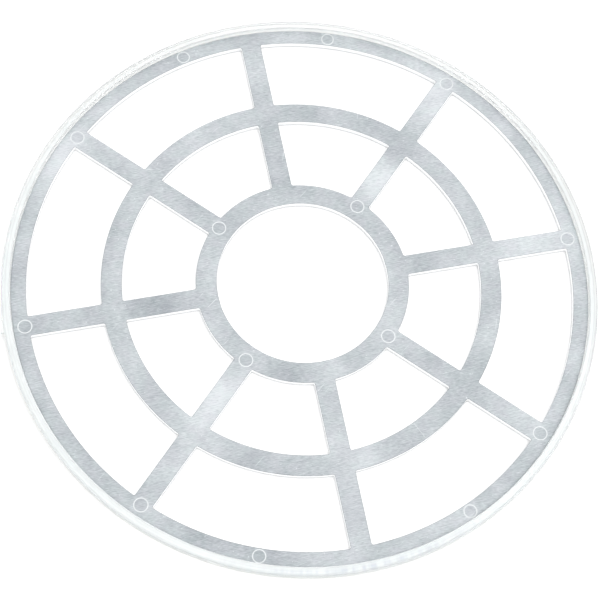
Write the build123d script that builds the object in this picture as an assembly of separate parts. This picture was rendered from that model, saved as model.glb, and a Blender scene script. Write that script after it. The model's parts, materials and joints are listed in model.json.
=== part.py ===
"""One side of an open reel for developing long film: a flat spoked web bonded into a clear raised rim.

The underside lies on z = 0 and the reel's axis is +Z. Spokes start on +X and repeat all round.
Millimetres and degrees.
"""

import os

from build123d import *

os.makedirs("parts", exist_ok=True)

# Rim: a clear ring with a lip that stands above the web and a ledge that carries the web's edge.
outer_diameter = 177.8
rim_height = 4.0
lip_width = 2.6
lip_inner_round = 0.5
lip_outer_round = 0.9
rim_foot_round = 0.5
ledge_width = 1.2
ledge_height = 0.8
bond_gap = 0.05

# Web: three flat rings joined by straight spokes, all one thickness.
web_thickness = 2.0
core_diameter = 50.8
core_clearance = 0.3
hub_ring_width = 6.2
middle_ring_inner_radius = 53.7
middle_ring_width = 6.2
outer_ring_width = 4.6
spoke_count = 8
spoke_width = 6.1
window_corner_round = 0.5
web_edge_round = 0.15

# Moulding marks: shallow circular witness lines of the ejector pins, and the stub left at the gate.
pin_mark_diameter = 4.4
pin_mark_line = 0.5
pin_mark_depth = 0.1
pin_mark_land = 0.25
outer_spoke_mark_inset = 3.5
hub_mark_inset = 1.6
outer_spoke_mark_angles = (0, 45, 135, 180, 225, 315)
outer_ring_mark_angles = (73, 105, 250, 293)
hub_mark_angles = (45, 135, 225, 315)
gate_angle = 179.3
gate_width = 4.2
gate_proud = 1.0
gate_height = 1.4

# Radii that follow from the sizes above.
outer_radius = outer_diameter / 2
lip_inner_radius = outer_radius - lip_width
ledge_inner_radius = lip_inner_radius - ledge_width
bore_radius = core_diameter / 2 + core_clearance
hub_outer_radius = bore_radius + hub_ring_width
middle_ring_outer_radius = middle_ring_inner_radius + middle_ring_width
outer_ring_inner_radius = lip_inner_radius - outer_ring_width


def place(radius, angle, shape):
    """Moves a shape out along its own +X by radius, then turns it by angle about the reel's axis."""
    return Rot(0, 0, angle) * Pos(radius, 0, 0) * shape


def window_band(inner_radius, ring_radius):
    """The openings between two rings: a band with the spokes taken out of it and its corners rounded."""
    band = Circle(ring_radius) - Circle(inner_radius)
    spoke = Rectangle(outer_radius, spoke_width)
    for i in range(spoke_count):
        band -= place(outer_radius / 2, i * 360 / spoke_count, spoke)
    return fillet(band.vertices(), window_corner_round)


def round_openings(web):
    """Rounds the rims of the bore and the windows on both faces of the web."""
    faces = web.faces().filter_by(Axis.Z).sort_by(Axis.Z)
    for face in (faces[0], faces[-1]):
        edges = [edge for wire in face.inner_wires() for edge in wire.edges()]
        web = fillet(edges, web_edge_round)
    return web


def pin_mark(diameter):
    """A circular line, cut by pin_mark_depth into the web's upper face."""
    line = Circle(diameter / 2) - Circle(diameter / 2 - pin_mark_line)
    return Pos(0, 0, web_thickness - pin_mark_depth) * extrude(line, 2 * pin_mark_depth)


def pin_marks():
    """Every ejector pin's mark: at spoke ends, on the outer ring between spokes, and around the hub ring."""
    ring_mark = outer_ring_width - 2 * pin_mark_land
    rows = (
        (lip_inner_radius - outer_spoke_mark_inset, pin_mark_diameter, outer_spoke_mark_angles),
        (lip_inner_radius - outer_ring_width / 2, ring_mark, outer_ring_mark_angles),
        (hub_outer_radius - hub_mark_inset, pin_mark_diameter, hub_mark_angles),
    )
    return [place(radius, angle, pin_mark(diameter)) for radius, diameter, angles in rows for angle in angles]


def build_web():
    """The spoked web, with a step under its edge that sits on the rim's ledge."""
    plan = Circle(lip_inner_radius - bond_gap) - Circle(bore_radius)
    plan -= window_band(hub_outer_radius, middle_ring_inner_radius)
    plan -= window_band(middle_ring_outer_radius, outer_ring_inner_radius)
    web = round_openings(extrude(plan, web_thickness))
    step = Circle(outer_radius) - Circle(ledge_inner_radius - bond_gap)
    web -= extrude(step, ledge_height)
    for mark in pin_marks():
        web -= mark
    return web


def build_rim():
    """The rim ring: one profile turned about the reel's axis, with the stub of the gate on its wall."""
    profile = Polyline(
        (ledge_inner_radius, 0),
        (outer_radius, 0),
        (outer_radius, rim_height),
        (lip_inner_radius, rim_height),
        (lip_inner_radius, ledge_height),
        (ledge_inner_radius, ledge_height),
        close=True,
    )
    section = make_face(profile)
    rounds = {
        (outer_radius, 0): rim_foot_round,
        (outer_radius, rim_height): lip_outer_round,
        (lip_inner_radius, rim_height): lip_inner_round,
    }
    for (radius, height), size in rounds.items():
        corner = section.vertices().sort_by_distance((radius, height, 0))[0]
        section = fillet(corner, size)
    ring = revolve(Plane.XZ * section, Axis.Z)
    stub = Box(gate_proud + lip_width / 2, gate_width, gate_height)
    stub_radius = outer_radius + gate_proud - (gate_proud + lip_width / 2) / 2
    return ring + Pos(0, 0, rim_height / 2) * place(stub_radius, gate_angle, stub)


export_step(build_web(), "parts/spoked_web.step")
export_step(build_rim(), "parts/rim_ring.step")
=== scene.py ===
"""Looks of one side of an open reel for developing long film.

A frosted web of rings and spokes sits in a clear polished rim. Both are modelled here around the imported
frame, and stand for its two nodes. Lengths are in metres; fields that end in _mm are in millimetres.
"""

import json
import logging
import math
from dataclasses import dataclass
from enum import Enum
from typing import Iterable

import bmesh
import bpy
from mathutils import Matrix, Vector


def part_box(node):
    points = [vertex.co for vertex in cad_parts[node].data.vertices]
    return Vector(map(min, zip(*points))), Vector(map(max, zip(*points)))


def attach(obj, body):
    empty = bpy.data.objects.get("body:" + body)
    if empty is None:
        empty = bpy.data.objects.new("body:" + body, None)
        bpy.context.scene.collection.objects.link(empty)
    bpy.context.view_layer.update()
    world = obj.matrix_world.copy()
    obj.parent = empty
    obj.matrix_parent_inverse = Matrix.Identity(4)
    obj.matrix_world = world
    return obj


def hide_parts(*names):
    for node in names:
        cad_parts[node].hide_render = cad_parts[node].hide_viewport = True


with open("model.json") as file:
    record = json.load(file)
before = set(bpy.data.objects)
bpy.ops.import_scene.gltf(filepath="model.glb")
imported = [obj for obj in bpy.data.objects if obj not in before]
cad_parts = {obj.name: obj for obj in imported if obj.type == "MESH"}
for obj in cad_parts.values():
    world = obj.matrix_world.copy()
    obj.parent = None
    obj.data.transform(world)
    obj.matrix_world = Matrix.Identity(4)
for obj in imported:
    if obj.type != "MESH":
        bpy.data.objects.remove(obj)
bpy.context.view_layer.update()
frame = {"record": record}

LOG = logging.getLogger("reel_side")
MM = 0.001
BODY = "root"
SHARP_DEGREES = 40.0
PLASTIC_IOR = 1.49
FULL = (0.0, 1.0)

Socket = bpy.types.NodeSocket
Range = tuple[float, float]
Triple = tuple[float, float, float]


class Face(Enum):
    """The finishes that one piece wears, in the order of its material slots."""

    BRUSHED = 0
    WALL = 1
    EDGE = 2
    LAND = 3
    WITNESS = 4


def planar_radius(point: Vector) -> float:
    """Returns a point's distance from the reel's axis."""
    return math.hypot(point.x, point.y)


def turn_about_axis(degrees: float) -> Matrix:
    """Returns a turn about the reel's axis."""
    return Matrix.Rotation(math.radians(degrees), 4, "Z")


def object_from(mesh_data: bmesh.types.BMesh, name: str) -> bpy.types.Object:
    """Makes a linked object from a finished bmesh.

    Args:
        mesh_data: the shape, in the frame's own place. It is freed here.
        name: the name of the object and of its mesh.

    Returns:
        The new object, at the origin.
    """
    mesh = bpy.data.meshes.new(name)
    mesh_data.to_mesh(mesh)
    mesh_data.free()
    piece = bpy.data.objects.new(name, mesh)
    bpy.context.scene.collection.objects.link(piece)
    return piece


def shade_by_angle(shape: bmesh.types.BMesh, sharp_degrees: float) -> None:
    """Shades every face smooth, and keeps the edges that turn by more than an angle sharp.

    Args:
        shape: the shape to shade.
        sharp_degrees: the turn past which an edge stays sharp.
    """
    limit = math.radians(sharp_degrees)
    for face in shape.faces:
        face.smooth = True
    for edge in shape.edges:
        edge.smooth = len(edge.link_faces) == 2 and edge.calc_face_angle(0.0) < limit


class NodeDesk:
    """A small helper that places and wires shader nodes in one tree."""

    def __init__(self, tree: bpy.types.NodeTree) -> None:
        """Takes the tree that the nodes go in."""
        self.tree = tree

    def node(self, kind: str, **settings: object) -> bpy.types.Node:
        """Adds a node.

        Args:
            kind: the node's type name.
            settings: attributes set on the node.

        Returns:
            The new node.
        """
        made = self.tree.nodes.new(kind)
        for key, value in settings.items():
            setattr(made, key, value)
        return made

    def wire(self, source: Socket, target: Socket) -> None:
        """Links an output socket to an input socket."""
        self.tree.links.new(source, target)

    def feed(self, target: Socket, value: object) -> None:
        """Gives an input its value.

        Args:
            target: the input socket.
            value: a socket to link in, or a plain value.
        """
        if isinstance(value, Socket):
            self.wire(value, target)
        else:
            target.default_value = value

    def position(self) -> Socket:
        """Returns the shaded point's place on the object."""
        return self.node("ShaderNodeTexCoord").outputs["Object"]

    def split(self, position: Socket) -> tuple[Socket, Socket, Socket]:
        """Takes a position apart.

        Args:
            position: the position.

        Returns:
            Its X, Y and Z.
        """
        made = self.node("ShaderNodeSeparateXYZ")
        self.wire(position, made.inputs[0])
        return made.outputs["X"], made.outputs["Y"], made.outputs["Z"]

    def maths(self, operation: str, *values: object) -> Socket:
        """Adds a Math node.

        Args:
            operation: what the node does.
            values: up to three sockets or numbers.

        Returns:
            The result.
        """
        made = self.node("ShaderNodeMath", operation=operation)
        for slot, value in zip(made.inputs, values):
            self.feed(slot, value)
        return made.outputs[0]

    def spread(self, value: Socket, source: Range, target: Range = FULL, curve: str = "LINEAR") -> Socket:
        """Maps a value from one range to another, and holds it inside the second.

        Args:
            value: the value to map.
            source: the range that it is read in.
            target: the range that it is written in.
            curve: how it moves between the two ends.

        Returns:
            The mapped value.
        """
        made = self.node("ShaderNodeMapRange", interpolation_type=curve)
        for slot, number in zip(made.inputs[:5], (value, *source, *target)):
            self.feed(slot, number)
        return made.outputs[0]

    def noise(self, position: Socket, scale: float, detail: float, roughness: float = 0.5) -> Socket:
        """Adds a 3D noise.

        Args:
            position: where the noise is read.
            scale: how many features there are to a metre of position.
            detail: how many finer layers are added.
            roughness: how strong the finer layers are.

        Returns:
            The noise's value.
        """
        made = self.node("ShaderNodeTexNoise")
        settings = {"Vector": position, "Scale": scale, "Detail": detail, "Roughness": roughness}
        for name, value in settings.items():
            self.feed(made.inputs[name], value)
        return made.outputs[0]

    def stretched(self, position: Socket, degrees: float, size: Range, shift: float) -> Socket:
        """Turns a position in the web's plane and stretches it, so that a noise there draws strokes.

        Args:
            position: the position to change.
            degrees: the turn.
            size: the length and width of one stroke.
            shift: how far the strokes move sideways, so that families differ.

        Returns:
            The changed position, with one stroke to the unit each way.
        """
        turned = self.node("ShaderNodeVectorRotate", rotation_type="Z_AXIS")
        self.feed(turned.inputs["Vector"], position)
        turned.inputs["Angle"].default_value = math.radians(degrees)
        made = self.node("ShaderNodeMapping")
        self.wire(turned.outputs[0], made.inputs["Vector"])
        length, width = size
        made.inputs["Location"].default_value = (degrees, shift, 0.0)
        made.inputs["Scale"].default_value = (1 / length, 1 / width, 1.0)
        return made.outputs[0]

    def distance(self, position: Socket, place_mm: Triple) -> Socket:
        """Measures how far a position is from a fixed place.

        Args:
            position: the position to measure from.
            place_mm: the fixed place on the object.

        Returns:
            The distance.
        """
        made = self.node("ShaderNodeVectorMath", operation="DISTANCE")
        self.wire(position, made.inputs[0])
        made.inputs[1].default_value = tuple(value * MM for value in place_mm)
        return made.outputs["Value"]

    def band(self, value: Socket, middle_mm: float, half_width_mm: float) -> Socket:
        """Returns 1 where value is at middle_mm, falling to 0 at half_width_mm to either side."""
        off = self.maths("ABSOLUTE", self.maths("SUBTRACT", value, middle_mm * MM))
        return self.spread(off, (0.0, half_width_mm * MM), (1.0, 0.0))

    def mix(self, share: object, low: object, high: object, how: str = "MIX") -> Socket:
        """Mixes two colours.

        Args:
            share: how much of high goes in, as a socket or a number.
            low: a colour, plain or a socket.
            high: a colour, plain or a socket.
            how: the way that high is laid on low.

        Returns:
            The mixed colour.
        """
        made = self.node("ShaderNodeMix", data_type="RGBA", blend_type=how)
        self.feed(made.inputs["Factor"], share)
        for name, value in (("A", low), ("B", high)):
            self.feed(made.inputs[name], (*value, 1.0) if isinstance(value, tuple) else value)
        return made.outputs["Result"]

    def bump(self, height: Socket, strength: float, depth: float) -> Socket:
        """Adds a bump.

        Args:
            height: the height, from 0 to 1.
            strength: how much of the bump shows.
            depth: how deep a height of 1 is.

        Returns:
            The bumped normal.
        """
        made = self.node("ShaderNodeBump")
        made.inputs["Strength"].default_value = strength
        made.inputs["Distance"].default_value = depth
        self.wire(height, made.inputs["Height"])
        return made.outputs["Normal"]


def new_surface(name: str) -> tuple[bpy.types.Material, NodeDesk, bpy.types.Node]:
    """Makes an empty material.

    Args:
        name: the material's name.

    Returns:
        The material, a desk on its tree, and its Principled shader.
    """
    material = bpy.data.materials.new(name)
    material.use_nodes = True
    return material, NodeDesk(material.node_tree), material.node_tree.nodes["Principled BSDF"]


@dataclass(frozen=True)
class Stroke:
    """One family of brush strokes, all lying one way."""

    length: float
    width: float
    degrees: float
    share: float


@dataclass(frozen=True)
class TonePatch:
    """One soft patch where the web's tone is lighter or darker."""

    x_mm: float
    y_mm: float
    radius_mm: float
    change: float


@dataclass(frozen=True)
class BrushedGrain:
    """A shader group: the fine strokes, soft clouding, lighter and darker patches and stray scratches of a
    brushed face.

    A scratch family is its turn in degrees and the noise value past which a scratch shows.
    """

    name: str = "brushed_grain"
    stroke_families: tuple[Stroke, ...] = (
        Stroke(length=5.0 * MM, width=0.34 * MM, degrees=-7.0, share=0.30),
        Stroke(length=1.3 * MM, width=0.36 * MM, degrees=3.0, share=0.42),
        Stroke(length=2.4 * MM, width=0.34 * MM, degrees=24.0, share=0.28),
    )
    stroke_shift: float = 3.0
    stroke_range: Range = (0.38, 0.62)
    cloud_size: float = 15.0 * MM
    cloud_range: Range = (0.3, 0.7)
    scratch_size: Range = (9.0 * MM, 0.45 * MM)
    scratch_families: tuple[Range, ...] = ((-38.0, 0.74), (14.0, 0.75), (-71.0, 0.77))
    scratch_shift: float = 11.0
    scratch_fade: float = 0.06
    fleck_size: float = 0.55 * MM
    fleck_range: Range = (0.80, 0.86)
    patches: tuple[TonePatch, ...] = (
        TonePatch(-27.0, -66.0, 30.0, -0.30),
        TonePatch(-43.0, 0.0, 17.0, -0.42),
        TonePatch(-70.0, 0.0, 15.0, -0.12),
        TonePatch(-27.0, 27.0, 17.0, -0.12),
        TonePatch(8.0, 44.0, 26.0, -0.22),
        TonePatch(40.0, 40.0, 9.0, -0.16),
        TonePatch(30.0, 49.0, 20.0, -0.14),
        TonePatch(36.0, 2.0, 15.0, -0.14),
        TonePatch(-12.0, -30.0, 14.0, -0.18),
        TonePatch(38.0, -38.0, 20.0, -0.22),
        TonePatch(-50.0, 48.0, 16.0, -0.16),
        TonePatch(30.0, 30.0, 12.0, 0.48),
        TonePatch(54.0, 54.0, 20.0, 0.28),
        TonePatch(73.0, 0.0, 20.0, 0.38),
        TonePatch(-31.0, -31.0, 15.0, 0.46),
        TonePatch(-50.0, -50.0, 14.0, 0.18),
        TonePatch(-62.0, 58.0, 34.0, 0.24),
    )

    def group(self) -> bpy.types.NodeTree:
        """Builds the group once.

        Returns:
            The group, with a Position input and Strokes, Clouds and Scratches outputs.
        """
        if self.name in bpy.data.node_groups:
            return bpy.data.node_groups[self.name]
        tree = bpy.data.node_groups.new(self.name, "ShaderNodeTree")
        tree.interface.new_socket("Position", in_out="INPUT", socket_type="NodeSocketVector")
        for output in ("Strokes", "Clouds", "Scratches"):
            tree.interface.new_socket(output, in_out="OUTPUT", socket_type="NodeSocketFloat")
        desk = NodeDesk(tree)
        position = desk.node("NodeGroupInput").outputs["Position"]
        result = desk.node("NodeGroupOutput")
        desk.wire(self.strokes(desk, position), result.inputs["Strokes"])
        desk.wire(self.clouds(desk, position), result.inputs["Clouds"])
        desk.wire(self.scratches(desk, position), result.inputs["Scratches"])
        return tree

    def strokes(self, desk: NodeDesk, position: Socket) -> Socket:
        """Lays the families of fine strokes over each other.

        Args:
            desk: where the nodes go.
            position: the place on the object.

        Returns:
            The strokes, from 0 to 1.
        """
        total = 0.0
        for stroke in self.stroke_families:
            size = (stroke.length, stroke.width)
            spot = desk.stretched(position, stroke.degrees, size, self.stroke_shift)
            grain = desk.noise(spot, scale=1.0, detail=2.0, roughness=0.6)
            total = desk.maths("MULTIPLY_ADD", grain, stroke.share, total)
        return desk.spread(total, self.stroke_range)

    def clouds(self, desk: NodeDesk, position: Socket) -> Socket:
        """Adds the lighter and darker patches to a soft clouding.

        Args:
            desk: where the nodes go.
            position: the place on the object.

        Returns:
            The tone, around a middle of one half.
        """
        cloud = desk.noise(position, 1 / self.cloud_size, detail=3.0, roughness=0.6)
        total = desk.spread(cloud, self.cloud_range, self.cloud_range)
        for patch in self.patches:
            gap = desk.distance(position, (patch.x_mm, patch.y_mm, 0.0))
            fade = desk.spread(gap, (0.0, patch.radius_mm * MM), (patch.change, 0.0), "SMOOTHSTEP")
            total = desk.maths("ADD", total, fade)
        return total

    def scratches(self, desk: NodeDesk, position: Socket) -> Socket:
        """Strews a few thin scratches and small flecks.

        Args:
            desk: where the nodes go.
            position: the place on the object.

        Returns:
            The scratches and flecks, from 0 to 1.
        """
        total = 0.0
        for degrees, limit in self.scratch_families:
            spot = desk.stretched(position, degrees, self.scratch_size, self.scratch_shift)
            grain = desk.noise(spot, scale=1.0, detail=1.0, roughness=0.4)
            line = desk.spread(grain, (limit, limit + self.scratch_fade))
            total = desk.maths("MAXIMUM", line, total)
        flecks = desk.spread(desk.noise(position, 1 / self.fleck_size, detail=0.0), self.fleck_range)
        return desk.maths("MAXIMUM", total, flecks)


@dataclass(frozen=True)
class BrushedPlastic:
    """The web's frosted faces: clear plastic brushed to a pale blue-grey, with a faint cast in patches."""

    name: str
    dark: Triple = (0.285, 0.314, 0.340)
    light: Triple = (0.675, 0.706, 0.728)
    green_cast: Triple = (0.978, 1.000, 0.990)
    violet_cast: Triple = (1.000, 0.990, 1.000)
    cast_size: float = 3.5 * MM
    cast_range: Range = (0.38, 0.62)
    stroke_share: float = 0.55
    scratch_lift: float = 0.5
    roughness: Range = (0.36, 0.52)
    bump: float = 0.5
    bump_depth: float = 0.03 * MM
    transmission: float = 0.15

    def build(self) -> bpy.types.Material:
        """Builds the finish.

        Returns:
            The material.
        """
        material, desk, shader = new_surface(self.name)
        position = desk.position()
        grain = desk.node("ShaderNodeGroup", node_tree=BrushedGrain().group())
        desk.wire(position, grain.inputs["Position"])
        strokes, clouds, scratches = (grain.outputs[name] for name in ("Strokes", "Clouds", "Scratches"))
        tone = desk.maths("MULTIPLY_ADD", desk.maths("SUBTRACT", strokes, 0.5), self.stroke_share, clouds)
        tone = desk.maths("MULTIPLY_ADD", scratches, self.scratch_lift, tone)
        patch = desk.spread(desk.noise(position, 1 / self.cast_size, detail=2.0), self.cast_range)
        cast = desk.mix(patch, self.green_cast, self.violet_cast)
        colour = desk.mix(1.0, desk.mix(tone, self.dark, self.light), cast, "MULTIPLY")
        desk.wire(colour, shader.inputs["Base Color"])
        desk.wire(desk.spread(strokes, FULL, self.roughness), shader.inputs["Roughness"])
        desk.wire(desk.bump(strokes, self.bump, self.bump_depth), shader.inputs["Normal"])
        shader.inputs["Transmission Weight"].default_value = self.transmission
        shader.inputs["IOR"].default_value = PLASTIC_IOR
        return material


@dataclass(frozen=True)
class MouldedWall:
    """A smooth moulded wall, painted bright along its height as painted light, with an optional painted glow
    and a painted grey line of shade at its foot.
    """

    name: str
    # face is the wall's colour, painted bright as painted light; the colour at its foot is painted shade.
    face: Triple
    painted_foot_shade: Triple
    painted_glow: float = 0.0
    painted_glow_colour: Triple = (1.0, 1.0, 1.0)
    foot_height: float = 0.36 * MM
    foot_blend: Range = (0.7, 1.3)
    cloud_size: float = 3.0 * MM
    cloud_range: Range = (0.3, 0.6)
    cloud_shade: Range = (0.8, 1.0)
    gloss_range: Range = (0.3, 0.7)
    roughness: Range = (0.12, 0.26)
    transmission: float = 0.1

    def build(self) -> bpy.types.Material:
        """Builds the finish.

        Returns:
            The material.
        """
        material, desk, shader = new_surface(self.name)
        position = desk.position()
        height = desk.split(position)[2]
        clouds = desk.noise(position, 1 / self.cloud_size, detail=2.0)
        low, high = (self.foot_height * share for share in self.foot_blend)
        level = desk.spread(height, (low, high))
        level = desk.maths("MULTIPLY", level, desk.spread(clouds, self.cloud_range, self.cloud_shade))
        # Painted shade: the wall's bottom is mixed towards the darker foot colour, and the face above it is
        # painted bright as painted light.
        desk.wire(desk.mix(level, self.painted_foot_shade, self.face), shader.inputs["Base Color"])
        desk.wire(desk.spread(clouds, self.gloss_range, self.roughness), shader.inputs["Roughness"])
        # Painted light: the emission makes the wall glow, though it is no lamp.
        shader.inputs["Emission Color"].default_value = (*self.painted_glow_colour, 1.0)
        shader.inputs["Emission Strength"].default_value = self.painted_glow
        shader.inputs["Transmission Weight"].default_value = self.transmission
        shader.inputs["IOR"].default_value = PLASTIC_IOR
        return material


@dataclass(frozen=True)
class RimPlace:
    """Where a shaded point lies on the rim, as sockets."""

    position: Socket
    radius: Socket
    turn: Socket
    height: Socket


@dataclass(frozen=True)
class RimPlastic:
    """The rim's clear plastic: polished and a little milky, with rings and ripples from its moulding, painted
    lines of shade round the lip, painted shade at the foot of its outer wall, and a painted glow.

    Each painted shade line is given by its radius, its half width and its strength.
    """

    name: str = "clear_rim_polished"
    clear: Triple = (0.995, 1.000, 1.000)
    milky: Triple = (0.905, 0.940, 0.945)
    line_shade: Triple = (0.600, 0.595, 0.610)
    # foot_shade is painted shade: a darker warm band at the foot of the outer wall.
    foot_shade: Triple = (0.940, 0.905, 0.865)
    ripple_shade: Triple = (0.640, 0.690, 0.750)
    # Painted light: the rim is given a faint glow, though it is no lamp.
    painted_glow_colour: Triple = (0.95, 1.0, 1.0)
    painted_glow: float = 0.07
    transmission: float = 0.70
    roughness: Range = (0.12, 0.22)
    bump: float = 0.2
    bump_depth: float = 0.01 * MM
    blotch_size: float = 5.0 * MM
    blotch_range: Range = (0.32, 0.66)
    blotch_share: float = 0.6
    ring_width: float = 0.45 * MM
    ring_waves: float = 2.5
    ring_range: Range = (0.36, 0.62)
    ring_share: float = 0.4
    # Painted shade lines round the lip: they show only above line_floor_mm and are strongest round
    # line_centre_mm, weakening to line_least away from it.
    painted_shade_lines_mm: tuple[Triple, ...] = ((86.42, 0.26, 0.8), (87.62, 0.26, 0.9), (88.46, 0.50, 1.0))
    line_floor_mm: float = 3.0
    line_fade_mm: float = 0.3
    line_centre_mm: Triple = (40.0, 79.0, 4.0)
    line_reach_mm: float = 175.0
    line_full_share: float = 0.35
    line_least: float = 0.25
    outer_wall_mm: float = 88.7
    outer_fade_mm: float = 0.4
    foot_mm: float = 1.7
    foot_full_share: float = 0.3
    ripple_pitch: float = 2.1 * MM
    ripple_range: Range = (0.43, 0.57)
    ripple_band_mm: Range = (87.9, 1.3)
    ripple_centre_mm: Triple = (2.0, -86.0, 3.0)
    ripple_reach_mm: float = 48.0

    def build(self) -> bpy.types.Material:
        """Builds the finish.

        Returns:
            The material.
        """
        material, desk, shader = new_surface(self.name)
        place = self.place(desk)
        blotches = desk.noise(place.position, 1 / self.blotch_size, detail=3.0, roughness=0.6)
        blotches = desk.spread(blotches, self.blotch_range)
        body = desk.mix(self.smoothness(desk, place, blotches), self.milky, self.clear)
        body = desk.mix(self.ripples(desk, place), body, self.ripple_shade)
        # Painted shade: darker lines round the lip, standing for the dark outlines of the clear plastic's
        # corners.
        body = desk.mix(self.painted_shade_lines(desk, place), body, self.line_shade)
        # Painted shade: a darker warm band at the foot of the outer wall.
        body = desk.mix(self.painted_foot_shade(desk, place), body, self.foot_shade)
        desk.wire(body, shader.inputs["Base Color"])
        desk.wire(desk.spread(blotches, FULL, self.roughness), shader.inputs["Roughness"])
        desk.wire(desk.bump(blotches, self.bump, self.bump_depth), shader.inputs["Normal"])
        # Painted light: a faint glow brightens the rim.
        shader.inputs["Emission Color"].default_value = (*self.painted_glow_colour, 1.0)
        shader.inputs["Emission Strength"].default_value = self.painted_glow
        shader.inputs["Transmission Weight"].default_value = self.transmission
        shader.inputs["IOR"].default_value = PLASTIC_IOR
        return material

    def place(self, desk: NodeDesk) -> RimPlace:
        """Works out the shaded point's radius, turn and height.

        Args:
            desk: where the nodes go.

        Returns:
            The point's place on the rim.
        """
        position = desk.position()
        across, along, height = desk.split(position)
        square = desk.maths("MULTIPLY_ADD", across, across, desk.maths("MULTIPLY", along, along))
        turn = desk.maths("ARCTAN2", along, across)
        return RimPlace(position, desk.maths("SQRT", square), turn, height)

    def polar_noise(self, desk: NodeDesk, place: RimPlace, turn_scale: float, radius_scale: float) -> Socket:
        """Lays a noise out by turn and radius.

        Args:
            desk: where the nodes go.
            place: the point's place on the rim.
            turn_scale: how many features there are to a radian of turn.
            radius_scale: how many features there are to a metre of radius.

        Returns:
            The noise's value.
        """
        spot = desk.node("ShaderNodeCombineXYZ")
        desk.wire(desk.maths("MULTIPLY", place.turn, turn_scale), spot.inputs[0])
        desk.wire(desk.maths("MULTIPLY", place.radius, radius_scale), spot.inputs[1])
        return desk.noise(spot.outputs[0], scale=1.0, detail=1.0)

    def smoothness(self, desk: NodeDesk, place: RimPlace, blotches: Socket) -> Socket:
        """Says how clear the plastic is, by its faint rings and its blotches.

        Args:
            desk: where the nodes go.
            place: the point's place on the rim.
            blotches: the blotches, from 0 to 1.

        Returns:
            0 where the plastic is milky and 1 where it is clear.
        """
        rings = self.polar_noise(desk, place, self.ring_waves, 1 / self.ring_width)
        rings = desk.spread(rings, self.ring_range)
        return desk.maths("MULTIPLY_ADD", rings, self.ring_share,
                          desk.maths("MULTIPLY", blotches, self.blotch_share))

    def ripples(self, desk: NodeDesk, place: RimPlace) -> Socket:
        """Draws short bars across the lip, round one place and fading away from it.

        Args:
            desk: where the nodes go.
            place: the point's place on the rim.

        Returns:
            The bars, from 0 to 1.
        """
        bars = self.polar_noise(desk, place, self.outer_wall_mm * MM / self.ripple_pitch, 0.0)
        bars = desk.spread(bars, self.ripple_range)
        gap = desk.distance(place.position, self.ripple_centre_mm)
        share = desk.spread(gap, (0.0, self.ripple_reach_mm * MM), (1.0, 0.0))
        share = desk.maths("MULTIPLY", share, desk.band(place.radius, *self.ripple_band_mm))
        return desk.maths("MULTIPLY", share, bars)

    def painted_shade_lines(self, desk: NodeDesk, place: RimPlace) -> Socket:
        """Paints fine lines of shade round the lip, strongest near one place.

        Args:
            desk: where the nodes go.
            place: the point's place on the rim.

        Returns:
            The painted shade lines, from 0 to 1.
        """
        total = 0.0
        for middle, half_width, strength in self.painted_shade_lines_mm:
            line = desk.band(place.radius, middle, half_width)
            total = desk.maths("MULTIPLY_ADD", line, strength, total)
        top = (self.line_floor_mm + self.line_fade_mm) * MM
        above = desk.spread(place.height, (self.line_floor_mm * MM, top))
        gap = desk.distance(place.position, self.line_centre_mm)
        reach = (self.line_full_share * self.line_reach_mm * MM, self.line_reach_mm * MM)
        strong = desk.spread(gap, reach, (1.0, self.line_least))
        return desk.maths("MULTIPLY", desk.maths("MULTIPLY", total, strong), above)

    def painted_foot_shade(self, desk: NodeDesk, place: RimPlace) -> Socket:
        """Marks where shade is painted at the foot of the outer wall.

        Args:
            desk: where the nodes go.
            place: the point's place on the rim.

        Returns:
            1 at the foot, falling to 0 above it.
        """
        low = desk.spread(place.height, (self.foot_mm * self.foot_full_share * MM, self.foot_mm * MM),
                          (1.0, 0.0))
        inner = (self.outer_wall_mm - self.outer_fade_mm) * MM
        outside = desk.spread(place.radius, (inner, self.outer_wall_mm * MM))
        return desk.maths("MULTIPLY", low, outside)


WEB_FACE = BrushedPlastic(name="frosted_web_brushed")
# Painted shade: a darker copy of the web's plastic for the rounded rims of every opening and of the edge.
WEB_EDGE_PAINTED_SHADE = BrushedPlastic(name="frosted_web_edge_painted_shade", dark=(0.13, 0.15, 0.17), light=(0.36, 0.39, 0.41))
PIN_LAND = BrushedPlastic(name="frosted_web_pin_land", dark=(0.27, 0.30, 0.325), light=(0.61, 0.64, 0.665))
# The web's walls: its own plastic painted near-white as painted light, with a painted glow and a painted shade
# line at the foot.
WEB_WALL_PAINTED_LIGHT_AND_SHADE = MouldedWall(name="frosted_web_wall_painted_light_and_shade", face=(0.965, 0.975, 0.98), painted_foot_shade=(0.60, 0.625, 0.64),
                       painted_glow=0.07)
# Painted highlight: the pins' round grooves and the flow line catch real highlights, and their colour is also
# painted lighter than the web as a painted highlight.
WITNESS_LINE_PAINTED_HIGHLIGHT = MouldedWall(name="frosted_web_witness_painted_highlight", face=(0.74, 0.77, 0.78), painted_foot_shade=(0.58, 0.60, 0.61))
RIM_FACE = RimPlastic()


@dataclass(frozen=True)
class PinMark:
    """One circular witness line that an ejector pin left."""

    radius_mm: float
    degrees: float
    diameter_mm: float


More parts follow.
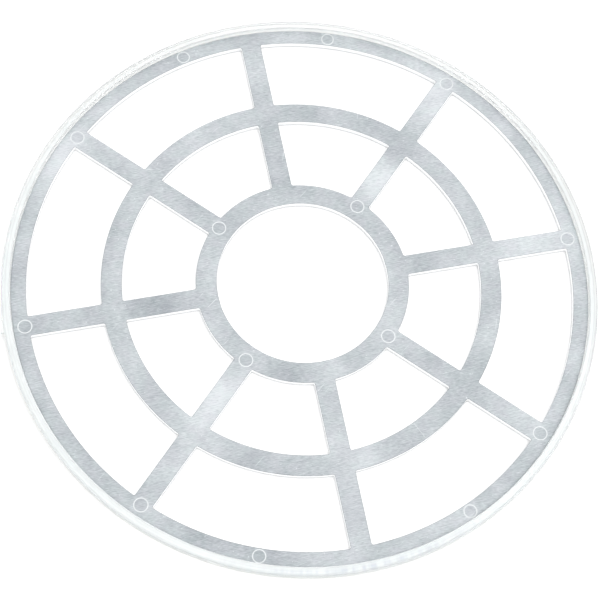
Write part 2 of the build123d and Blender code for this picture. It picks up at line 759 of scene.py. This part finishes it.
@dataclass
class SpokedWeb:
    """The frosted web: three flat rings joined by straight spokes."""

    bore_radius_mm: float
    thickness_mm: float
    hub_ring_width_mm: float = 6.2
    middle_ring_inner_mm: float = 53.7
    middle_ring_width_mm: float = 6.2
    outer_ring_width_mm: float = 4.6
    lip_inner_radius_mm: float = 86.3
    bond_gap_mm: float = 0.05
    ledge_width_mm: float = 1.2
    ledge_height_mm: float = 0.8
    step_blend_mm: float = 0.01
    spokes: int = 8
    spoke_width_mm: float = 6.1
    arc_steps: int = 12
    corner_round_mm: float = 0.5
    corner_segments: int = 4
    corner_least_radians: float = 0.5
    edge_round_mm: float = 0.15
    edge_segments: int = 2
    edge_least_radians: float = 1.0
    upright_slack_mm: float = 0.01
    corner_slack_mm: float = 0.1
    same_place_mm: float = 0.001
    pin_diameter_mm: float = 4.4
    ring_pin_diameter_mm: float = 4.1
    pin_line_mm: float = 0.4
    pin_depth_mm: float = 0.1
    pin_wire_segments: int = 12
    pin_steps: int = 48
    outer_spoke_pins: tuple[int, ...] = (0, 45, 135, 180, 225, 315)
    outer_ring_pins: tuple[int, ...] = (73, 105, 250, 293)
    hub_pins: tuple[int, ...] = (45, 135, 225, 315)
    outer_pin_inset_mm: float = 3.5
    hub_pin_inset_mm: float = 1.6
    flow_line_degrees: float = 295.0
    flow_line_mm: float = 0.14
    flow_line_lift: float = 0.6
    flow_line_short_mm: float = 0.6
    flow_line_segments: int = 8
    wall_slope: float = 0.6
    flat_slope: float = 0.97

    @property
    def hub_outer_mm(self) -> float:
        """The hub ring's outer radius."""
        return self.bore_radius_mm + self.hub_ring_width_mm

    @property
    def middle_outer_mm(self) -> float:
        """The middle ring's outer radius."""
        return self.middle_ring_inner_mm + self.middle_ring_width_mm

    @property
    def outer_inner_mm(self) -> float:
        """The outer ring's inner radius."""
        return self.lip_inner_radius_mm - self.outer_ring_width_mm

    def radii(self) -> list[float]:
        """Lists the circles of the plan, with the step under the edge.

        Returns:
            Their radii in metres, from the bore to the edge.
        """
        edge = self.lip_inner_radius_mm - self.bond_gap_mm
        step = edge - self.ledge_width_mm
        rings = [self.bore_radius_mm, self.hub_outer_mm, self.middle_ring_inner_mm, self.middle_outer_mm,
                 self.outer_inner_mm, step, step + self.step_blend_mm, edge]
        return [ring * MM for ring in rings]

    def in_window(self, point: Vector) -> bool:
        """Says whether a point of the first sector lies in one of its windows.

        Args:
            point: a point of the plan.

        Returns:
            True if it does.
        """
        radius = planar_radius(point) / MM
        inner = self.hub_outer_mm < radius < self.middle_ring_inner_mm
        outer = self.middle_outer_mm < radius < self.outer_inner_mm
        return (inner or outer) and abs(point.y) > self.spoke_width_mm * MM / 2

    def sector(self) -> bmesh.types.BMesh:
        """Bends a grid into the plan of one spoke with its share of the rings.

        Returns:
            The flat sector, with its windows open.
        """
        radii = self.radii()
        half = self.spoke_width_mm * MM / 2
        rows = 2 * self.arc_steps + 2
        shape = bmesh.new()
        bmesh.ops.create_grid(shape, x_segments=len(radii) - 1, y_segments=rows, size=1.0)
        for vert in shape.verts:
            radius = radii[round((vert.co.x + 1) / 2 * (len(radii) - 1))]
            step = round((vert.co.y + 1) / 2 * rows) - rows // 2
            root = math.asin(half / radius)
            share = (abs(step) - 1) / self.arc_steps
            angle = 0.0 if step == 0 else root + (math.pi / self.spokes - root) * share
            angle = math.copysign(angle, step)
            vert.co = Vector((radius * math.cos(angle), radius * math.sin(angle), 0.0))
        gone = [face for face in shape.faces if self.in_window(face.calc_center_median())]
        bmesh.ops.delete(shape, geom=gone, context="FACES")
        return shape

    def plate(self) -> bmesh.types.BMesh:
        """Spins the sector round and raises it.

        Returns:
            The whole web as a closed plate, with square edges and a step under its edge.
        """
        shape = self.sector()
        turns = self.spokes - 1
        bmesh.ops.spin(shape, geom=shape.verts[:] + shape.edges[:] + shape.faces[:], cent=(0, 0, 0),
                       axis=(0, 0, 1), dvec=(0, 0, 0), angle=math.tau * turns / self.spokes, steps=turns,
                       use_duplicate=True)
        bmesh.ops.remove_doubles(shape, verts=shape.verts[:], dist=self.same_place_mm * MM)
        raised = bmesh.ops.extrude_face_region(shape, geom=shape.faces[:])["geom"]
        top = [part for part in raised if isinstance(part, bmesh.types.BMVert)]
        bmesh.ops.translate(shape, verts=top, vec=(0, 0, self.thickness_mm * MM))
        step_radius = self.radii()[-3] + self.step_blend_mm * MM / 2
        for vert in shape.verts:
            if vert.co.z < MM * self.ledge_height_mm and planar_radius(vert.co) > step_radius:
                vert.co.z = MM * self.ledge_height_mm
        bmesh.ops.recalc_face_normals(shape, faces=shape.faces[:])
        return shape

    def is_corner(self, edge: bmesh.types.BMEdge) -> bool:
        """Says whether an edge stands upright in a corner of a window.

        Args:
            edge: an edge of the plate.

        Returns:
            True if it does.
        """
        low, high = (vert.co for vert in edge.verts)
        upright = (high - low).xy.length < self.upright_slack_mm * MM
        inside = planar_radius(low) < self.outer_inner_mm * MM + self.corner_slack_mm * MM
        return upright and edge.calc_face_angle(0.0) > self.corner_least_radians and inside

    def is_rim_edge(self, edge: bmesh.types.BMEdge) -> bool:
        """Says whether an edge borders the upper or the under face.

        Args:
            edge: an edge of the plate.

        Returns:
            True if it does.
        """
        slack = self.same_place_mm * MM
        levels = (0.0, self.thickness_mm * MM)
        level = any(all(abs(vert.co.z - level) < slack for vert in edge.verts) for level in levels)
        return level and edge.calc_face_angle(0.0) > self.edge_least_radians

    def round_corners(self, shape: bmesh.types.BMesh) -> None:
        """Rounds the windows' corners, then the rims of every opening and of the edge.

        Args:
            shape: the plate.
        """
        corners = [edge for edge in shape.edges if self.is_corner(edge)]
        bmesh.ops.bevel(shape, geom=corners, offset=self.corner_round_mm * MM, offset_type="OFFSET",
                        segments=self.corner_segments, profile=0.5, affect="EDGES", material=-1)
        rims = [edge for edge in shape.edges if self.is_rim_edge(edge)]
        bmesh.ops.bevel(shape, geom=rims, offset=self.edge_round_mm * MM, offset_type="OFFSET",
                        segments=self.edge_segments, profile=0.5, affect="EDGES", material=-1,
                        clamp_overlap=True)

    def pin_marks(self) -> Iterable[PinMark]:
        """Lists the ejector pins' marks.

        Yields:
            Each mark in turn.
        """
        rows = ((self.lip_inner_radius_mm - self.outer_pin_inset_mm, self.pin_diameter_mm,
                 self.outer_spoke_pins),
                (self.lip_inner_radius_mm - self.outer_ring_width_mm / 2, self.ring_pin_diameter_mm,
                 self.outer_ring_pins),
                (self.hub_outer_mm - self.hub_pin_inset_mm, self.pin_diameter_mm, self.hub_pins))
        for radius, diameter, angles in rows:
            for angle in angles:
                yield PinMark(radius, angle, diameter)

    def add_pin_cutter(self, shape: bmesh.types.BMesh, mark: PinMark) -> None:
        """Adds the ring that cuts one pin's round-bottomed line.

        Args:
            shape: the tool that the ring goes in.
            mark: the pin's mark.
        """
        start = len(shape.verts)
        wire = self.pin_line_mm * MM / 2
        lift = wire - self.pin_depth_mm * MM
        spine = mark.diameter_mm * MM / 2 - wire
        upright = Matrix.Translation((spine, 0, 0)) @ Matrix.Rotation(math.pi / 2, 4, "X")
        ring = bmesh.ops.create_circle(shape, segments=self.pin_wire_segments, radius=wire, cap_ends=False,
                                       matrix=upright)
        edges = list({edge for vert in ring["verts"] for edge in vert.link_edges})
        bmesh.ops.spin(shape, geom=ring["verts"] + edges, cent=(0, 0, 0), axis=(0, 0, 1), dvec=(0, 0, 0),
                       angle=math.tau, steps=self.pin_steps, use_merge=True)
        shape.verts.ensure_lookup_table()
        centre = Matrix.Translation((mark.radius_mm * MM, 0, self.thickness_mm * MM + lift))
        bmesh.ops.transform(shape, matrix=turn_about_axis(mark.degrees) @ centre, verts=shape.verts[start:])

    def add_flow_cutter(self, shape: bmesh.types.BMesh) -> None:
        """Adds the rod that cuts the flow line across the middle ring.

        Args:
            shape: the tool that the rod goes in.
        """
        groove = self.flow_line_mm * MM / 2
        middle = (self.middle_ring_inner_mm + self.middle_outer_mm) / 2 * MM
        height = self.thickness_mm * MM + groove * self.flow_line_lift
        place = turn_about_axis(self.flow_line_degrees) @ Matrix.Translation((middle, 0, height))
        bmesh.ops.create_cone(shape, cap_ends=True, segments=self.flow_line_segments, radius1=groove,
                              radius2=groove, depth=(self.middle_ring_width_mm - self.flow_line_short_mm) * MM,
                              matrix=place @ Matrix.Rotation(math.pi / 2, 4, "Y"))

    def mark_cutter(self) -> bpy.types.Object:
        """Builds the tool that cuts the pins' lines and the flow line into the upper face.

        Returns:
            The tool.
        """
        shape = bmesh.new()
        for mark in self.pin_marks():
            self.add_pin_cutter(shape, mark)
        self.add_flow_cutter(shape)
        bmesh.ops.recalc_face_normals(shape, faces=shape.faces[:])
        return object_from(shape, "mark_cutter")

    def cut_marks(self, piece: bpy.types.Object, line: bpy.types.Material) -> None:
        """Cuts the marks into the web, and gives the cut faces their own finish.

        Args:
            piece: the web, whose mesh is replaced.
            line: the finish of the cut faces.
        """
        cutter = self.mark_cutter()
        cutter.data.materials.append(line)
        cut = piece.modifiers.new("marks", "BOOLEAN")
        cut.operation = "DIFFERENCE"
        cut.solver = "EXACT"
        cut.material_mode = "TRANSFER"
        cut.object = cutter
        graph = bpy.context.evaluated_depsgraph_get()
        cut_mesh = bpy.data.meshes.new_from_object(piece.evaluated_get(graph))
        piece.modifiers.clear()
        piece.data = cut_mesh
        bpy.data.objects.remove(cutter)

    def finish_of(self, face: bmesh.types.BMFace) -> Face:
        """Chooses the finish of one face of the plate by how it slopes.

        Args:
            face: the face.

        Returns:
            Its finish.
        """
        # Upright faces take the wall finish, painted bright as painted light; sloping rounds take the edge
        # finish, painted dark as painted shade.
        slope = abs(face.normal.z)
        if slope < self.wall_slope:
            return Face.WALL
        return Face.EDGE if slope < self.flat_slope else Face.BRUSHED

    def finish_lands(self, shape: bmesh.types.BMesh) -> None:
        """Gives the disc inside each pin's line its own finish.

        Args:
            shape: the web, with its marks cut.
        """
        for mark in self.pin_marks():
            middle = Vector((mark.radius_mm * MM, 0.0, self.thickness_mm * MM))
            centre = turn_about_axis(mark.degrees) @ middle
            reach = (mark.diameter_mm / 2 - self.pin_line_mm / 2) * MM
            for face in shape.faces:
                inside = all((vert.co - centre).length < reach for vert in face.verts)
                if inside and face.normal.z > self.flat_slope:
                    face.material_index = Face.LAND.value

    def build(self) -> bpy.types.Object:
        """Builds and dresses the web.

        Returns:
            The finished piece, riding on the frame's one body.
        """
        shape = self.plate()
        self.round_corners(shape)
        for face in shape.faces:
            face.material_index = self.finish_of(face).value
        piece = object_from(shape, "web_plate")
        line = WITNESS_LINE_PAINTED_HIGHLIGHT.build()
        for finish in (WEB_FACE.build(), WEB_WALL_PAINTED_LIGHT_AND_SHADE.build(), WEB_EDGE_PAINTED_SHADE.build(), PIN_LAND.build(), line):
            piece.data.materials.append(finish)
        self.cut_marks(piece, line)
        finished = bmesh.new()
        finished.from_mesh(piece.data)
        self.finish_lands(finished)
        shade_by_angle(finished, SHARP_DEGREES)
        finished.to_mesh(piece.data)
        finished.free()
        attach(piece, BODY)
        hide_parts("spoked_web")
        return piece


@dataclass
class RimRing:
    """The clear rim: a ring with a raised lip, a ledge under the web, and the stub of its gate."""

    outer_radius_mm: float
    height_mm: float
    lip_width_mm: float = 2.6
    ledge_width_mm: float = 1.2
    ledge_height_mm: float = 0.8
    lip_inner_round_mm: float = 0.5
    lip_outer_round_mm: float = 0.9
    foot_round_mm: float = 0.5
    round_segments: int = 6
    steps: int = 960
    same_place_mm: float = 0.0005
    gate_degrees: float = 179.3
    gate_steps: int = 7
    gate_proud_mm: float = 1.0
    gate_height_mm: float = 1.4
    gate_taper: Triple = (1.0, 0.86, 0.8)
    gate_slack_radians: float = 1e-4
    wall_slack_mm: float = 0.1

    @property
    def gate_low_mm(self) -> float:
        """The height of the gate's lower side."""
        return (self.height_mm - self.gate_height_mm) / 2

    def profile(self, shape: bmesh.types.BMesh) -> list[bmesh.types.BMVert]:
        """Draws the ring's section in the XZ plane, with its corners rounded.

        Args:
            shape: the bmesh that the section goes in.

        Returns:
            The section's vertices.
        """
        lip = self.outer_radius_mm - self.lip_width_mm
        ledge = lip - self.ledge_width_mm
        gate_high = self.gate_low_mm + self.gate_height_mm
        outline = ((ledge, 0.0, 0.0), (self.outer_radius_mm, 0.0, self.foot_round_mm),
                   (self.outer_radius_mm, self.gate_low_mm, 0.0), (self.outer_radius_mm, gate_high, 0.0),
                   (self.outer_radius_mm, self.height_mm, self.lip_outer_round_mm),
                   (lip, self.height_mm, self.lip_inner_round_mm), (lip, self.ledge_height_mm, 0.0),
                   (ledge, self.ledge_height_mm, 0.0))
        verts = [shape.verts.new((radius * MM, 0.0, height * MM)) for radius, height, _ in outline]
        shape.faces.new(verts)
        for vert, (_, _, size) in zip(verts, outline):
            if size:
                bmesh.ops.bevel(shape, geom=[vert], offset=size * MM, offset_type="OFFSET",
                                segments=self.round_segments, profile=0.5, affect="VERTICES", material=-1)
        bmesh.ops.delete(shape, geom=shape.faces[:], context="FACES_ONLY")
        return shape.verts[:]

    def in_gate(self, face: bmesh.types.BMFace) -> bool:
        """Says whether a face of the outer wall is where the gate stood.

        Args:
            face: a face of the ring.

        Returns:
            True if it is.
        """
        middle = face.calc_center_median()
        half_width = math.radians(self.gate_steps * 180 / self.steps) + self.gate_slack_radians
        centre = math.radians(self.gate_degrees)
        off = (math.atan2(middle.y, middle.x) - centre + math.pi) % math.tau - math.pi
        low = self.gate_low_mm * MM
        level = low < middle.z < low + self.gate_height_mm * MM
        outside = planar_radius(middle) > (self.outer_radius_mm - self.wall_slack_mm) * MM
        return abs(off) < half_width and level and outside

    def add_gate_stub(self, shape: bmesh.types.BMesh) -> None:
        """Draws the gate's stub out of the outer wall, and tapers its broken end.

        Args:
            shape: the ring.
        """
        faces = [face for face in shape.faces if self.in_gate(face)]
        stub = bmesh.ops.extrude_face_region(shape, geom=faces)["geom"]
        tip = [part for part in stub if isinstance(part, bmesh.types.BMVert)]
        bmesh.ops.delete(shape, geom=faces, context="FACES")
        centre = math.radians(self.gate_degrees)
        outward = Vector((math.cos(centre), math.sin(centre), 0.0))
        bmesh.ops.translate(shape, verts=tip, vec=outward * self.gate_proud_mm * MM)
        middle = sum((vert.co for vert in tip), Vector()) / len(tip)
        bmesh.ops.scale(shape, vec=self.gate_taper, space=Matrix.Translation(-middle), verts=tip)

    def build(self) -> bpy.types.Object:
        """Builds and dresses the rim.

        Returns:
            The finished piece, riding on the frame's one body.
        """
        shape = bmesh.new()
        section = self.profile(shape)
        bmesh.ops.spin(shape, geom=section + shape.edges[:], cent=(0, 0, 0), axis=(0, 0, 1), dvec=(0, 0, 0),
                       angle=math.tau, steps=self.steps, use_merge=True)
        bmesh.ops.remove_doubles(shape, verts=shape.verts[:], dist=self.same_place_mm * MM)
        self.add_gate_stub(shape)
        bmesh.ops.recalc_face_normals(shape, faces=shape.faces[:])
        shade_by_angle(shape, SHARP_DEGREES)
        piece = object_from(shape, "rim_moulding")
        piece.data.materials.append(RIM_FACE.build())
        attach(piece, BODY)
        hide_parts("rim_ring")
        return piece


@dataclass(frozen=True)
class Softbox:
    """One soft studio light, aimed at the reel."""

    name: str
    azimuth: float
    elevation: float
    distance: float
    size: float
    watts: float


@dataclass(frozen=True)
class Studio:
    """A pale floor, soft light and the camera."""

    floor_side: float = 12.0
    floor_drop: float = 0.05 * MM
    floor_tone: Triple = (0.90, 0.90, 0.90)
    floor_roughness: float = 0.9
    world_tone: Triple = (1.0, 1.0, 1.0)
    world_strength: float = 0.9
    lights: tuple[Softbox, ...] = (
        Softbox("overhead_softbox", azimuth=20.0, elevation=78.0, distance=1.6, size=1.5, watts=14.0),
        Softbox("far_softbox", azimuth=160.0, elevation=35.0, distance=1.4, size=0.9, watts=4.0),
    )
    aim_mm: Triple = (-2.05, -5.65, 2.0)
    azimuth: float = -22.10
    elevation: float = 67.76
    roll: float = 11.32
    distance: float = 0.473
    lens: float = 95.6
    sensor_width: float = 36.0
    clip_start: float = 0.01

    def back(self, azimuth: float, elevation: float) -> Vector:
        """Finds the direction from the reel to a viewer.

        Args:
            azimuth: the viewer's turn in degrees, where 0 looks along +Y.
            elevation: the viewer's height in degrees.

        Returns:
            The direction, one metre long.
        """
        a, e = math.radians(azimuth), math.radians(elevation)
        return Vector((math.sin(a) * math.cos(e), -math.cos(a) * math.cos(e), math.sin(e)))

    def add_floor(self) -> None:
        """Lays a plain pale floor just under the reel."""
        shape = bmesh.new()
        bmesh.ops.create_grid(shape, x_segments=1, y_segments=1, size=self.floor_side / 2,
                              matrix=Matrix.Translation((0, 0, -self.floor_drop)))
        floor = object_from(shape, "floor")
        material, _, shader = new_surface("floor_paper")
        shader.inputs["Base Color"].default_value = (*self.floor_tone, 1.0)
        shader.inputs["Roughness"].default_value = self.floor_roughness
        floor.data.materials.append(material)

    def add_world(self) -> None:
        """Surrounds the scene with even white light."""
        world = bpy.data.worlds.new("studio")
        world.use_nodes = True
        background = world.node_tree.nodes["Background"]
        background.inputs["Color"].default_value = (*self.world_tone, 1.0)
        background.inputs["Strength"].default_value = self.world_strength
        bpy.context.scene.world = world

    def add_light(self, box: Softbox) -> None:
        """Hangs one soft light, facing the reel.

        Args:
            box: the light.
        """
        data = bpy.data.lights.new(box.name, "AREA")
        data.shape = "SQUARE"
        data.size = box.size
        data.energy = box.watts
        lamp = bpy.data.objects.new(box.name, data)
        away = self.back(box.azimuth, box.elevation)
        turn = away.to_track_quat("Z", "Y").to_matrix().to_4x4()
        lamp.matrix_world = Matrix.Translation(away * box.distance) @ turn
        bpy.context.scene.collection.objects.link(lamp)

    def add_camera(self) -> None:
        """Sets the camera at its distance from the point it looks at, rolled about its own line of sight."""
        data = bpy.data.cameras.new("camera")
        data.lens = self.lens
        data.sensor_width = self.sensor_width
        data.clip_start = self.clip_start
        camera = bpy.data.objects.new("camera", data)
        back = self.back(self.azimuth, self.elevation)
        a = math.radians(self.azimuth)
        right = Vector((math.cos(a), math.sin(a), 0.0))
        level = Matrix((right, back.cross(right), back)).transposed().to_4x4()
        pose = level @ Matrix.Rotation(math.radians(self.roll), 4, "Z")
        camera.matrix_world = Matrix.Translation(Vector(self.aim_mm) * MM + back * self.distance) @ pose
        bpy.context.scene.collection.objects.link(camera)
        bpy.context.scene.camera = camera

    def build(self) -> None:
        """Sets up the floor, the world, the lights and the camera."""
        self.add_floor()
        self.add_world()
        for box in self.lights:
            self.add_light(box)
        self.add_camera()
        bpy.context.scene.view_settings.view_transform = "Standard"


def main() -> None:
    """Builds each piece around the frame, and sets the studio."""
    logging.basicConfig(level=logging.INFO, format="%(name)s: %(message)s")
    mounts = {mount["name"]: mount for mount in frame["record"]["mounts"]}
    web_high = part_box("spoked_web")[1]
    rim_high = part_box("rim_ring")[1]
    web = SpokedWeb(bore_radius_mm=mounts["core_bore"]["dims"]["r_mm"], thickness_mm=web_high.z / MM)
    rim = RimRing(outer_radius_mm=rim_high.y / MM, height_mm=rim_high.z / MM)
    for sub_assembly in (web, rim):
        piece = sub_assembly.build()
        LOG.info("%s: %d faces", piece.name, len(piece.data.polygons))
    Studio().build()


if __name__ == "__main__":
    main()
